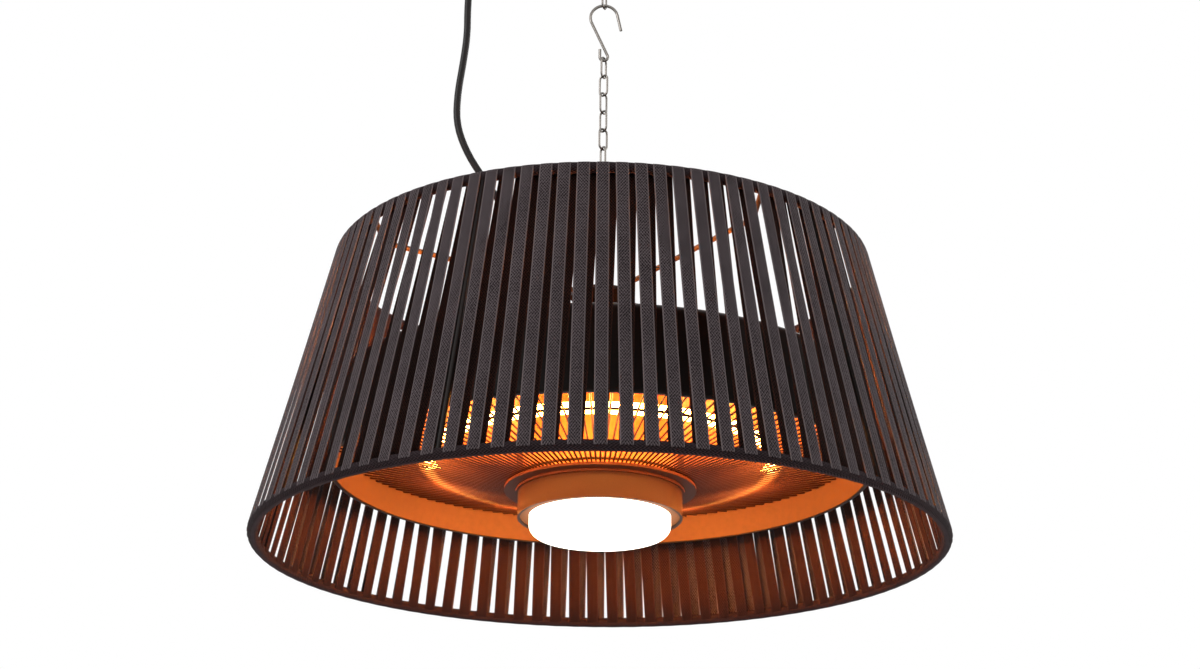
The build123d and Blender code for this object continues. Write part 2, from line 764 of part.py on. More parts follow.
for before, corner, after in zip(lead_points, lead_points[1:], lead_points[2:]):
    turn = radians((corner - before).get_angle(after - corner))
    shorter = min((corner - before).length, (after - corner).length)
    lead_radii.append(corner_share * shorter / tan(turn / 2))
print("lead radii", [round(radius, 1) for radius in lead_radii])
with BuildPart() as mains_lead:
    with BuildLine() as lead_path:
        FilletPolyline(*lead_points, radius=lead_radii)
    with BuildSketch(Plane(origin=lead_path.line @ 0, z_dir=lead_path.line % 0)):
        Circle(lead_diameter / 2)
    sweep()
save(mains_lead.part, "mains_lead")
lead_length = lead_path.wires()[0].length
lead_section = pi * (lead_diameter / 2) ** 2
print("lead length", round(lead_length, 1), "volume share",
      round(mains_lead.part.volume / (lead_length * lead_section), 4))

# Coil: half turns in and out again in two layers, hung beside the chain, then a tail to the plug
spiral_in = [(-1) ** (half + 1) * (coil_outer_radius - half * coil_pitch / 2)
             for half in range(2 * coil_turns_each + 1)]
ends = [Vector(coil_x + reach, -coil_layer_y, coil_z) for reach in spiral_in]
ends += [Vector(coil_x - reach, coil_layer_y, coil_z) for reach in reversed(spiral_in[1:])]
tail = Vector(2 * coil_x - ends[-1].X, coil_layer_y + tail_shift, coil_z)
ends.append(tail)
drop = Vector(0, 0, lead_diameter)
with BuildPart() as lead_coil:
    with BuildLine() as coil_path:
        Line(ends[0] - drop, ends[0])
        for near, far in zip(ends, ends[1:]):
            middle = (near + far) / 2
            rise = Vector(0, 0, (far - near).length / 2)
            ThreePointArc(near, middle + rise if near.X < far.X else middle - rise, far)
        Line(tail, tail - drop)
    with BuildSketch(Plane(origin=ends[0] - drop, z_dir=(0, 0, 1))):
        Circle(lead_diameter / 2)
    sweep()
save(lead_coil.part, "lead_coil")

coil_wire = coil_path.wires()[0]
coil_length = coil_wire.length
samples = [coil_wire @ (step / coil_samples) for step in range(coil_samples + 1)]
apart = round(coil_inner_radius / coil_length * coil_samples)
least = min((samples[i] - samples[j]).length
            for i in range(len(samples)) for j in range(i + apart, len(samples)))
print("coil length", round(coil_length, 1), "least gap to itself", round(least - lead_diameter, 2),
      "volume share", round(lead_coil.part.volume / (coil_length * lead_section), 4))

# Tie round the coil's side and the chain
tie_left = coil_x + sqrt((coil_inner_radius - lead_diameter / 2) ** 2 - (tie_width / 2) ** 2) - tie_slack
tie_right = link_radius + link_wire / 2 + tie_slack
tie_depth = 2 * (coil_layer_y + lead_diameter / 2 + tie_slack)
with BuildPart() as coil_tie:
    with BuildSketch(Plane.XY.offset(coil_z - tie_width / 2)):
        with Locations(((tie_left + tie_right) / 2, 0)):
            RectangleRounded(tie_right - tie_left + 2 * tie_thickness, tie_depth + 2 * tie_thickness,
                             tie_corner + tie_thickness)
            RectangleRounded(tie_right - tie_left, tie_depth, tie_corner, mode=Mode.SUBTRACT)
    extrude(amount=tie_width)
save(coil_tie.part, "coil_tie")

# Plug with its moulded sleeve and two round pins, hanging behind the coil
plug_top_z = coil_z - lead_diameter
plug_floor_z = plug_top_z - plug_sleeve_length - plug_length
plug_place = (tail.X, tail.Y)
with BuildPart() as plug_body:
    with BuildSketch(Plane.XY.offset(plug_floor_z)):
        with Locations(plug_place):
            Circle(plug_diameter / 2)
    extrude(amount=plug_length)
    fillet(plug_body.edges().filter_by(GeomType.CIRCLE), plug_edge)
    with BuildSketch(Plane.XY.offset(plug_floor_z + plug_length)):
        with Locations(plug_place):
            Circle(plug_sleeve_base / 2)
    with BuildSketch(Plane.XY.offset(plug_top_z)):
        with Locations(plug_place):
            Circle(plug_sleeve_tip / 2)
    loft()
save(plug_body.part, "plug_body")

with BuildPart() as plug_pins:
    with BuildSketch(Plane.XY.offset(plug_floor_z)):
        with Locations(plug_place):
            with GridLocations(pin_spacing, 0, 2, 1):
                Circle(pin_diameter / 2)
    extrude(amount=-pin_length)
save(plug_pins.part, "plug_pins")
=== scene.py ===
"""Looks of a hanging patio heater: woven strap shade, glowing ring, lamp, chain and mains lead.

Every length is in metres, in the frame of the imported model, whose origin is inside the top link.
"""

from math import atan2, cos, hypot, pi, radians, sin

import bpy
import numpy as np
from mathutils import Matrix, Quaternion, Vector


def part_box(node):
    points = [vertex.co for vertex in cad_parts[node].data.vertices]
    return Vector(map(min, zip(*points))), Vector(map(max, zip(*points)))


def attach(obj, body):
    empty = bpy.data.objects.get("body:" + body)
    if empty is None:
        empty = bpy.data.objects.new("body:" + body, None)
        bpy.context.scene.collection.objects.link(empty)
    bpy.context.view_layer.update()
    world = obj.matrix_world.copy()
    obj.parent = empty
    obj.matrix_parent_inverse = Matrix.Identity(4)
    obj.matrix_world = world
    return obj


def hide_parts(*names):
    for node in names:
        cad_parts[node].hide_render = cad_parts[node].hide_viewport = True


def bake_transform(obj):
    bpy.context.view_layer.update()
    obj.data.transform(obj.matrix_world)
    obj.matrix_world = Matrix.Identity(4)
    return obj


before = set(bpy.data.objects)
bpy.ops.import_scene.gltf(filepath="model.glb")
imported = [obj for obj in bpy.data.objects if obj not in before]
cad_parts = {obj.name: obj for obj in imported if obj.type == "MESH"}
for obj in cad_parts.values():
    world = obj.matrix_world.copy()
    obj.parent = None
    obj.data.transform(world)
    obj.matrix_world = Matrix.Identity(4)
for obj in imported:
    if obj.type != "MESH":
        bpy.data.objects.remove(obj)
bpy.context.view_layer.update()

bl_info = {
    "name": "Hanging patio heater",
    "version": (1, 0, 0),
    "blender": (4, 5, 0),
    "location": "3D View > Sidebar > Heater",
    "description": "Builds the strap shade, cord and finishes of a hanging patio heater",
    "category": "Add Mesh",
}

MM = 0.001


def middle(node):
    low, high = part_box(node)
    return (np.array(low) + np.array(high)) / 2


def half_width(node):
    low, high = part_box(node)
    return (high[0] - low[0]) / 2


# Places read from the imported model
RING_WIRE = (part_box("bottom_ring")[1][2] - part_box("bottom_ring")[0][2])
RIM_Z = float(middle("bottom_ring")[2])
TOP_Z = float(middle("top_ring")[2])
RIM_RADIUS = half_width("bottom_ring") - RING_WIRE / 2
TOP_RADIUS = half_width("top_ring") - RING_WIRE / 2
LEAN = atan2(RIM_RADIUS - TOP_RADIUS, TOP_Z - RIM_Z)
LIP_RADIUS = half_width("grille_outer_ring")
SLEEVE_TIP = (float(middle("lead_sleeve")[0]), 0.0, float(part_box("lead_sleeve")[1][2]))
COIL_LOW, COIL_HIGH = (np.array(corner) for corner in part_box("lead_coil"))


class HeaterSettings(bpy.types.PropertyGroup):
    strap_count: bpy.props.IntProperty(
        name="Straps", description="Straps in each layer of the shade", default=98, min=12)
    strap_width: bpy.props.FloatProperty(
        name="Strap width", description="Width of one strap", default=10.6 * MM, unit="LENGTH")
    strap_thickness: bpy.props.FloatProperty(
        name="Strap thickness", description="Thickness of one strap", default=1.0 * MM, unit="LENGTH")
    strap_offset: bpy.props.FloatProperty(
        name="Strap offset", description="From a ring's centre to the middle of a strap",
        default=4.4 * MM, unit="LENGTH")
    band_radius: bpy.props.FloatProperty(
        name="Band radius", description="Radius of the band wound round each ring",
        default=4.7 * MM, unit="LENGTH")
    weave_step: bpy.props.FloatProperty(
        name="Weave step", description="Length of one herringbone pick, drawn coarse enough to show",
        default=3.2 * MM, unit="LENGTH")
    lead_diameter: bpy.props.FloatProperty(
        name="Lead diameter", description="Diameter of the mains lead", default=6.6 * MM, unit="LENGTH")
    glow_colour: bpy.props.FloatVectorProperty(
        name="Glow colour", description="Linear colour of the light that the ring throws", subtype="COLOR",
        default=(1.0, 0.33, 0.085))
    glow_strength: bpy.props.FloatProperty(
        name="Glow strength", description="Emission of the glowing ring", default=70.0, min=0.0)
    lamp_strength: bpy.props.FloatProperty(
        name="Lamp strength", description="Emission of the opal diffuser", default=2.6, min=0.0)


def settings():
    return bpy.context.scene.heater


# Colour and node helpers
# Where most values of a noise lie
NOISE_SPREAD = (0.3, 0.7)


def linear(code):
    """sRGB hex to linear, by the standard piecewise curve."""
    values = [int(code[i:i + 2], 16) / 255 for i in (1, 3, 5)]
    return tuple(v / 12.92 if v <= 0.04045 else ((v + 0.055) / 1.055) ** 2.4 for v in values) + (1.0,)


def add_node(tree, kind, values=None, stops=(), **options):
    """Adds one node, sets its options, fills or links its inputs by name or number, and sets any
    colour stops, each a place with an sRGB hex value."""
    node = tree.nodes.new(kind)
    for name, value in options.items():
        setattr(node, name, value)
    for key, value in (values or {}).items():
        if isinstance(value, bpy.types.NodeSocket):
            tree.links.new(value, node.inputs[key])
        else:
            node.inputs[key].default_value = value
    for number, (place, code) in enumerate(stops):
        elements = node.color_ramp.elements
        element = elements[number] if number < len(elements) else elements.new(place)
        element.position = place
        element.color = linear(code)
    return node


def new_material(name, **values):
    """A principled material with these socket values; returns the material, its tree and its shader."""
    material = bpy.data.materials.new(name)
    material.use_nodes = True
    tree = material.node_tree
    shader = tree.nodes["Principled BSDF"]
    for key, value in values.items():
        shader.inputs[key.replace("_", " ")].default_value = value
    return material, tree, shader


def grain(tree, shader, per_metre, bump, dark, light, rough):
    """Uneven colour, roughness and bump from one noise on object coordinates. It has this many grains
    to the metre, so 1000 is a grain of one millimetre."""
    place = add_node(tree, "ShaderNodeTexCoord").outputs["Object"]
    noise = add_node(tree, "ShaderNodeTexNoise", {"Vector": place, "Scale": per_metre, "Detail": 4.0})
    low, high = NOISE_SPREAD
    colour = add_node(tree, "ShaderNodeValToRGB", {0: noise.outputs[0]}, [(low, dark), (high, light)])
    tree.links.new(colour.outputs[0], shader.inputs["Base Color"])
    spread = add_node(tree, "ShaderNodeMapRange",
                      {0: noise.outputs[0], 1: low, 2: high, 3: rough - 0.06, 4: rough + 0.06})
    tree.links.new(spread.outputs[0], shader.inputs["Roughness"])
    raised = add_node(tree, "ShaderNodeBump",
                      {"Height": noise.outputs[0], "Strength": bump, "Distance": 0.2 * MM})
    tree.links.new(raised.outputs[0], shader.inputs["Normal"])
    return noise


# Materials
# How far inside the lip the painted shade on the reflector fades in
LIP_SHADE_FADE = 4 * MM
WEAVE_COLUMNS = 9
WEAVE_SLOPE = 3.0


def zinc_steel():
    """Zinc-plated steel wire, drawn and tumbled: bright, with a soft grey bloom in patches of 1.1 mm."""
    material, tree, shader = new_material("zinc_plated_steel_wire", Metallic=1.0)
    grain(tree, shader, 900.0, 0.03, "#7a7570", "#8f8a85", 0.2)
    return material


def powder_coat(name, dark, light, rough):
    """Powder-coated steel, sprayed and baked: satin, with an orange peel of 0.7 mm that softens the
    highlight."""
    material, tree, shader = new_material(name, Specular_IOR_Level=0.2)
    grain(tree, shader, 1400.0, 0.2, dark, light, rough)
    return material


def reflector_sheet():
    """Rolled aluminium, satin: faint cloudy patches of 6 mm. The orange gold near the tube is painted light
    from the ring, and the darker bronze at the lip is painted shade. A steady glow stands for the ring's
    light on it, dimmer at the lip."""
    material, tree, shader = new_material("rolled_aluminium_reflector", Metallic=0.3)
    noise = grain(tree, shader, 160.0, 0.08, "#bd6a30", "#cd7a3c", 0.5)
    place = add_node(tree, "ShaderNodeTexCoord").outputs["Object"]
    flat = add_node(tree, "ShaderNodeVectorMath", {0: place, 1: (1, 1, 0)}, operation="MULTIPLY")
    reach = add_node(tree, "ShaderNodeVectorMath", {0: flat.outputs[0]}, operation="LENGTH")
    # Painted shade: the colour and the glow fade to a darker bronze at the lip
    lip = add_node(tree, "ShaderNodeMapRange",
                   {0: reach.outputs["Value"], 1: LIP_RADIUS - LIP_SHADE_FADE, 2: LIP_RADIUS})
    for socket, gold, bronze in (
            ("Base Color", [(0.3, "#bd6a30"), (0.7, "#cd7a3c")], [(0.3, "#563a1d"), (0.7, "#604122")]),
            ("Emission Color", [(0.2, "#d0662a"), (0.8, "#e57c38")], [(0.2, "#5e3b1a"), (0.8, "#68431f")])):
        lit_near_tube = add_node(tree, "ShaderNodeValToRGB", {0: noise.outputs[0]}, gold)
        shaded_at_lip = add_node(tree, "ShaderNodeValToRGB", {0: noise.outputs[0]}, bronze)
        mixed = add_node(tree, "ShaderNodeMix",
                         {0: lip.outputs[0], 6: lit_near_tube.outputs[0], 7: shaded_at_lip.outputs[0]},
                         data_type="RGBA")
        tree.links.new(mixed.outputs[2], shader.inputs[socket])
    shader.inputs["Emission Strength"].default_value = 0.3
    return material


def quartz_glow():
    """Fused quartz tube, drawn clear, over a hot filament: it is nearly white and a little uneven,
    in stretches of 14 mm."""
    material, tree, shader = new_material("glowing_quartz_tube", Roughness=0.15, IOR=1.46)
    shader.inputs["Base Color"].default_value = linear("#ffb15c")
    place = add_node(tree, "ShaderNodeTexCoord").outputs["Object"]
    noise = add_node(tree, "ShaderNodeTexNoise", {"Vector": place, "Scale": 70.0})
    glow = add_node(tree, "ShaderNodeValToRGB", {0: noise.outputs[0]}, [(0.3, "#ff9c3c"), (0.7, "#ffb257")])
    tree.links.new(glow.outputs[0], shader.inputs["Emission Color"])
    shader.inputs["Emission Strength"].default_value = settings().glow_strength
    return material


def opal_plastic():
    """Opal polycarbonate, moulded and lit from inside: an even warm white, cloudy over 25 mm."""
    material, tree, shader = new_material("opal_polycarbonate", Roughness=0.4)
    shader.inputs["Base Color"].default_value = linear("#f6f1e6")
    place = add_node(tree, "ShaderNodeTexCoord").outputs["Object"]
    noise = add_node(tree, "ShaderNodeTexNoise", {"Vector": place, "Scale": 40.0})
    glow = add_node(tree, "ShaderNodeValToRGB", {0: noise.outputs[0]}, [(0.3, "#fff3df"), (0.7, "#fffaf0")])
    tree.links.new(glow.outputs[0], shader.inputs["Emission Color"])
    shader.inputs["Emission Strength"].default_value = settings().lamp_strength
    return material


def plain_grain(name, dark, light, rough, per_metre=600.0, bump=0.15, metallic=0.0, specular=0.5):
    """Moulded, fired or pressed stock with nothing but its own grain, of 1.7 mm unless it says
    otherwise."""
    material, tree, shader = new_material(name, Metallic=metallic, Specular_IOR_Level=specular)
    grain(tree, shader, per_metre, bump, dark, light, rough)
    return material


def woven_strap(name, gap, thread, pick, edge):
    """Polyester strap, woven flat in herringbone: dull, with pale picks and a paler edge each side, a
    painted highlight where the strap's edges catch the light.
    The picks are 3.2 mm long, drawn coarser than real ones so that they show.

    The UV map holds metres across and along the strap. A triangle wave across the strap shifts a
    stripe that runs along it, which gives the chevrons. Two noises add stray fibres, 1.4 mm apart,
    and worn patches 29 mm across.
    """
    material, tree, shader = new_material(name, Roughness=0.82, Specular_IOR_Level=0.12)
    size = settings()
    weave = add_node(tree, "ShaderNodeUVMap", uv_map="weave").outputs[0]
    parts = add_node(tree, "ShaderNodeSeparateXYZ", {0: weave})
    across, along = parts.outputs[0], parts.outputs[1]
    column = add_node(tree, "ShaderNodeMath", {0: across, 1: size.strap_width / WEAVE_COLUMNS},
                      operation="PINGPONG")
    slant = add_node(tree, "ShaderNodeMath", {0: column.outputs[0], 1: WEAVE_SLOPE, 2: along},
                     operation="MULTIPLY_ADD")
    turns = add_node(tree, "ShaderNodeMath", {0: slant.outputs[0], 1: 2 * pi / size.weave_step},
                     operation="MULTIPLY")
    stripe = add_node(tree, "ShaderNodeMath", {0: turns.outputs[0]}, operation="SINE")
    place = add_node(tree, "ShaderNodeTexCoord").outputs["Object"]
    fibre = add_node(tree, "ShaderNodeTexNoise", {"Vector": place, "Scale": 700.0, "Detail": 3.0})
    mixed = add_node(tree, "ShaderNodeMath", {0: stripe.outputs[0], 1: 0.46, 2: fibre.outputs[0]},
                     operation="MULTIPLY_ADD")
    from_middle = add_node(tree, "ShaderNodeMath", {0: across}, operation="ABSOLUTE")
    # Painted highlight: a band along each edge takes the edge colour, where the strap's edges catch the
    # light
    edge_highlight_mask = add_node(tree, "ShaderNodeMapRange",
                        {0: from_middle.outputs[0], 1: 0.39 * size.strap_width,
                         2: 0.42 * size.strap_width, 3: 0.0, 4: 0.6})
    wear = add_node(tree, "ShaderNodeTexNoise", {"Vector": place, "Scale": 34.0, "Detail": 2.0})
    worn = add_node(tree, "ShaderNodeMath", {0: wear.outputs[0], 1: 0.45, 2: mixed.outputs[0]},
                    operation="MULTIPLY_ADD")
    cloth = add_node(tree, "ShaderNodeValToRGB", {0: worn.outputs[0]},
                     [(0.4, gap), (0.74, thread), (1.0, pick)])
    with_edge_highlight = add_node(tree, "ShaderNodeMix",
                     {0: edge_highlight_mask.outputs[0], 6: cloth.outputs[0], 7: linear(edge)}, data_type="RGBA")
    tree.links.new(with_edge_highlight.outputs[2], shader.inputs["Base Color"])
    raised = add_node(tree, "ShaderNodeBump",
                      {"Height": mixed.outputs[0], "Strength": 0.8, "Distance": 0.3 * MM})
    tree.links.new(raised.outputs[0], shader.inputs["Normal"])
    return material


# Mesh helpers
def new_piece(name, vertices, faces, material, uv=None, smooth=True):
    """Makes a mesh object at the origin from arrays; uv holds one pair for each vertex."""
    mesh = bpy.data.meshes.new(name)
    mesh.from_pydata(vertices.tolist(), [], faces)
    if uv is not None:
        layer = mesh.uv_layers.new(name="weave")
        corner = np.empty(len(mesh.loops), dtype=np.int32)
        mesh.loops.foreach_get("vertex_index", corner)
        layer.data.foreach_set("uv", uv[corner].astype(np.float32).ravel())
    mesh.materials.append(material)
    if smooth:
        mesh.shade_smooth()
    piece = bpy.data.objects.new(name, mesh)
    bpy.context.scene.collection.objects.link(piece)
    return piece


def tube_faces(rows, sides, start, closed=False):
    """Quads of a tube of rings, as an index grid; its two ends are closed unless it is a loop."""
    row = np.arange(rows if closed else rows - 1)[:, None]
    side = np.arange(sides)[None, :]
    here, there = row * sides, (row + 1) % rows * sides
    quads = np.stack([here + side, here + (side + 1) % sides, there + (side + 1) % sides, there + side], -1)
    faces = (quads.reshape(-1, 4) + start).tolist()
    if not closed:
        faces.append((np.arange(sides)[::-1] + start).tolist())
        faces.append((np.arange(sides) + start + (rows - 1) * sides).tolist())
    return faces


def strap_profile(width, thickness):
    """The strap's section: flat faces, a slight crown and rounded edges, as (across, out) pairs."""
    w, t, edge = width / 2, thickness / 2, thickness / 2
    return np.array([(-w, 0), (-w + edge, -t), (0, -t), (w - edge, -t),
                     (w, 0), (w - edge, t), (0, 1.15 * t), (-w + edge, t)])


def strap_mesh(name, paths, across, out, material):
    """Straps from arrays (strap, row, xyz): each vertex is its path point plus the section's steps
    along the across and out directions."""
    size = settings()
    profile = strap_profile(size.strap_width, size.strap_thickness)
    steps = profile[:, 0, None] * across[:, :, None, :] + profile[:, 1, None] * out[:, :, None, :]
    vertices = (paths[:, :, None, :] + steps).reshape(-1, 3)
    runs = np.linalg.norm(np.diff(paths, axis=1), axis=2)
    along = np.concatenate([np.zeros((len(paths), 1)), np.cumsum(runs, axis=1)], axis=1)
    uv = np.stack(np.broadcast_arrays(profile[:, 0], along[:, :, None]), -1).reshape(-1, 2)
    sides, rows = len(profile), paths.shape[1]
    faces = [face for strap in range(len(paths))
             for face in tube_faces(rows, sides, strap * rows * sides)]
    return new_piece(name, vertices, faces, material, uv)


def meridian(azimuth):
    """Unit vectors pointing outwards and sideways at each azimuth, 0 at the front."""
    outward = np.stack([np.sin(azimuth), -np.cos(azimuth), 0 * azimuth], -1)
    sideways = np.stack([np.cos(azimuth), np.sin(azimuth), 0 * azimuth], -1)
    return outward, sideways


def assign(material, *nodes):
    """Gives CAD nodes this material."""
    for name in nodes:
        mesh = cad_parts[name].data
        mesh.materials.clear()
        mesh.materials.append(material)


# How the straps hang between the rings
TOP_WRAP = radians(150)
FOOT_WRAP = radians(-8)
STRAP_SAG = 0.5 * MM
OUTER_SCATTER = 0.35 * MM
INNER_SCATTER = 0.5 * MM
INNER_WANDER = 0.15
ARM_ANGLE = radians(34.0)
ARM_COUNT = 4
ARM_CLEARANCE = 3.2 * MM
ARM_REACH_STRAPS = 2.5


class HEATER_OT_outer_straps(bpy.types.Operator):
    """Outer straps: wound over the top ring, straight down the cone and under the rim"""
    bl_idname = "heater.outer_straps"
    bl_label = "Outer straps"

    def execute(self, context):
        # Each path is an arc round the top ring, a straight run with a slight sag, and an arc round the rim
        size = settings()
        count = size.strap_count
        rng = np.random.default_rng(7)
        scatter = rng.uniform(-1, 1, count) * OUTER_SCATTER / RIM_RADIUS
        azimuth = 2 * pi * np.arange(count) / count + scatter
        outward, sideways = meridian(azimuth)
        up = np.array([0, 0, 1.0])
        top_turns = np.linspace(TOP_WRAP, LEAN, 8)
        foot_turns = np.linspace(LEAN, FOOT_WRAP, 4)
        shares = np.linspace(0, 1, 10)[1:-1]
        sag = STRAP_SAG * np.sin(pi * shares)
        straight_radius = TOP_RADIUS + shares * (RIM_RADIUS - TOP_RADIUS)
        straight_z = TOP_Z + shares * (RIM_Z - TOP_Z)
        radius = np.concatenate([TOP_RADIUS + size.strap_offset * np.cos(top_turns),
                                 straight_radius + (size.strap_offset - sag) * cos(LEAN),
                                 RIM_RADIUS + size.strap_offset * np.cos(foot_turns)])
        height = np.concatenate([TOP_Z + size.strap_offset * np.sin(top_turns),
                                 straight_z + (size.strap_offset - sag) * sin(LEAN),
                                 RIM_Z + size.strap_offset * np.sin(foot_turns)])
        normal_turn = np.concatenate([top_turns, np.full(len(shares), LEAN), foot_turns])
        paths = radius[None, :, None] * outward[:, None, :] + height[None, :, None] * up
        out = (np.cos(normal_turn)[None, :, None] * outward[:, None, :]
               + np.sin(normal_turn)[None, :, None] * up)
        across = np.broadcast_to(sideways[:, None, :], paths.shape)
        # Black polyester, seen from its face: pale picks catch the studio light, and the pale edge each side
        # is a painted highlight
        material = woven_strap("woven_polyester_outer", "#140e10", "#30282a", "#776b6e", "#8b7f80")
        piece = strap_mesh("outer_strap_layer", paths, across, out, material)
        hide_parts("outer_straps")
        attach(piece, "lamp")
        return {"FINISHED"}


def drawn_aside(turn):
    """Heads of the inner straps that would meet an arm are pushed to its side, less further away."""
    size = settings()
    push = (size.strap_width / 2 + ARM_CLEARANCE) / TOP_RADIUS
    reach = ARM_REACH_STRAPS * 2 * pi / size.strap_count
    for arm in range(ARM_COUNT):
        offset = (turn - ARM_ANGLE - arm * 2 * pi / ARM_COUNT + pi) % (2 * pi) - pi
        near = np.abs(offset) < reach
        turn = turn + np.where(near, np.sign(offset) * push * (1 - np.abs(offset) / reach), 0)
    return turn


class HEATER_OT_inner_straps(bpy.types.Operator):
    """Inner straps: the return runs, leaning half a pitch from rim to top ring"""
    bl_idname = "heater.inner_straps"
    bl_label = "Inner straps"

    def execute(self, context):
        # Each path is a straight line from the inside of the rim to the inside of the top ring
        size = settings()
        pitch = 2 * pi / size.strap_count
        rng = np.random.default_rng(11)
        azimuth = pitch * np.arange(size.strap_count)
        wander = INNER_WANDER * (1 - np.cos(azimuth)) * pitch
        scatter = rng.uniform(-1, 1, size.strap_count) * INNER_SCATTER / RIM_RADIUS
        inset = size.strap_offset * cos(LEAN)
        drop = size.strap_offset * sin(LEAN)
        foot_out = meridian(azimuth + wander + scatter)[0]
        head_out = meridian(drawn_aside(azimuth + wander + 0.5 * pitch + scatter))[0]
        up = np.array([0, 0, 1.0])
        foot = (RIM_RADIUS - inset) * foot_out + (RIM_Z - drop) * up
        head = (TOP_RADIUS - inset) * head_out + (TOP_Z - drop) * up
        shares = np.linspace(0, 1, 12)[None, :, None]
        paths = head[:, None, :] * (1 - shares) + foot[:, None, :] * shares
        run = (foot - head) / np.linalg.norm(foot - head, axis=1, keepdims=True)
        across = np.cross(meridian(azimuth + wander + 0.25 * pitch)[0], run)
        across /= np.linalg.norm(across, axis=1, keepdims=True)
        out = np.cross(run, across)
        across = np.broadcast_to(across[:, None, :], paths.shape)
        out = np.broadcast_to(out[:, None, :], paths.shape)
        # The same polyester inside the shade: browner, as the ring's light leaves it, with no pale edge
        material = woven_strap("woven_polyester_inner", "#120908", "#251613", "#4c332d", "#4c332d")
        piece = strap_mesh("inner_strap_layer", paths, across, out, material)
        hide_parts("inner_straps")
        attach(piece, "lamp")
        return {"FINISHED"}


BAND_SWELL = 0.02


class HEATER_OT_rim_bands(bpy.types.Operator):
    """Rim bands: woven strip wound round both rings"""
    bl_idname = "heater.rim_bands"
    bl_label = "Rim bands"

    def execute(self, context):
        # Each band is a ring of circles, whose radius swells once for each strap
        size = settings()
        # The strap wound tight round the rings: darker, because its picks turn away from the light
        material = woven_strap("woven_polyester_band", "#130b0c", "#231819", "#43363a", "#43363a")
        for name, node, radius, z in (("top_rim_band", "top_rim_wrap", TOP_RADIUS, TOP_Z),
                                      ("bottom_rim_band", "bottom_rim_wrap", RIM_RADIUS, RIM_Z)):
            rows, sides = 4 * size.strap_count, 12
            turn = 2 * pi * np.arange(rows)[:, None] / rows
            side = 2 * pi * np.arange(sides)[None, :] / sides
            swell = size.band_radius * (1 + BAND_SWELL * np.sin(turn * size.strap_count))
            reach = radius + swell * np.cos(side)
            outward = meridian(turn[:, 0])[0][:, None, :]
            vertices = reach[:, :, None] * outward
            vertices[:, :, 2] = z + swell * np.sin(side)
            uv = np.stack(np.broadcast_arrays(size.band_radius * np.sin(side), turn * radius), -1)
            piece = new_piece(name, vertices.reshape(-1, 3), tube_faces(rows, sides, 0, True), material,
                              uv.reshape(-1, 2))
            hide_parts(node)
            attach(piece, "lamp")
        return {"FINISHED"}


# Points of the lead from the sleeve's tip, as in the CAD source
LEAD_ROUTE = [
    (0, 0, 0), (0, 0, 15.5), (-10, 0, 40.5), (-27, 0, 68.5), (-44, 0, 97.5), (-63, 0, 125.5),
    (-79, 0, 151.5), (-89, 0, 179.5), (-89, 0, 209.5), (-84.5, 0, 242.5), (-81.5, 0, 271.5),
    (-82, -1, 297), (-81, -2, 323), (-74, -3, 348), (-65, -3.7, 370),
]
LEAD_LAST_RUN = 11.6 * MM
COIL_PITCH = 8.3 * MM
COIL_INNER_RADIUS = 26.5 * MM
COIL_TURNS_EACH = 3
HALF_TURN_POINTS = 12
TAIL_SHIFT = 19.2 * MM
LEAD_SIDES = 12


def coil_points():
    """Half turns drawn in and out again in two layers, then a half turn back to the plug.

    Each half turn is a semicircle over or under the line between its two ends. The first two points
    lead up into the coil, and the last three lead down out of it.
    """
    diameter = settings().lead_diameter
    outer = COIL_INNER_RADIUS + COIL_TURNS_EACH * COIL_PITCH
    centre_x = COIL_LOW[0] + diameter / 2 + outer
    centre_z = COIL_HIGH[2] - diameter / 2 - (outer - COIL_PITCH / 4)
    inwards = [(-1) ** (half + 1) * (outer - half * COIL_PITCH / 2)
               for half in range(2 * COIL_TURNS_EACH + 1)]
    layer = COIL_PITCH / 2
    ends = [(reach, -layer) for reach in inwards] + [(-reach, layer) for reach in reversed(inwards[1:])]
    ends.append((-ends[-1][0], layer + TAIL_SHIFT))
    ends = np.array(ends)
    near, far = ends[:-1], ends[1:]
    turn = np.linspace(0, pi, HALF_TURN_POINTS + 1)[:-1]
    sweep = (1 - np.cos(turn)) / 2
    flat = near[:, None, :] + (far - near)[:, None, :] * sweep[None, :, None]
    rise = np.sign(far[:, 0] - near[:, 0]) * np.linalg.norm(far - near, axis=1) / 2
    height = rise[:, None] * np.sin(turn)[None, :]
    points = np.stack([centre_x + flat[:, :, 0], flat[:, :, 1], centre_z + height], -1).reshape(-1, 3)
    last = np.array([[centre_x + ends[-1, 0], ends[-1, 1], centre_z - share * diameter]
                     for share in (0, 0.5, 1)])
    first = np.array([[centre_x + ends[0, 0], ends[0, 1], centre_z - share * diameter]
                      for share in (1, 0.5)])
    return first, np.concatenate([points, last])


def spline_points(name, points):
    """The points that a smooth NURBS line through this route gives, read from a curve with no bevel."""
    curve = bpy.data.curves.new(name, "CURVE")
    curve.dimensions = "3D"
    curve.resolution_u = 4
    spline = curve.splines.new("NURBS")
    spline.points.add(len(points) - 1)
    spline.points.foreach_set("co", np.column_stack([points, np.ones(len(points))]).ravel())
    spline.order_u = 3
    spline.use_endpoint_u = True
    carrier = bpy.data.objects.new(name, curve)
    bpy.context.scene.collection.objects.link(carrier)
    bpy.context.view_layer.update()
    line = bpy.data.meshes.new_from_object(carrier.evaluated_get(bpy.context.evaluated_depsgraph_get()))
    found = np.empty(len(line.vertices) * 3)
    line.vertices.foreach_get("co", found)
    bpy.data.objects.remove(carrier)
    bpy.data.curves.remove(curve)
    bpy.data.meshes.remove(line)
    return found.reshape(-1, 3)


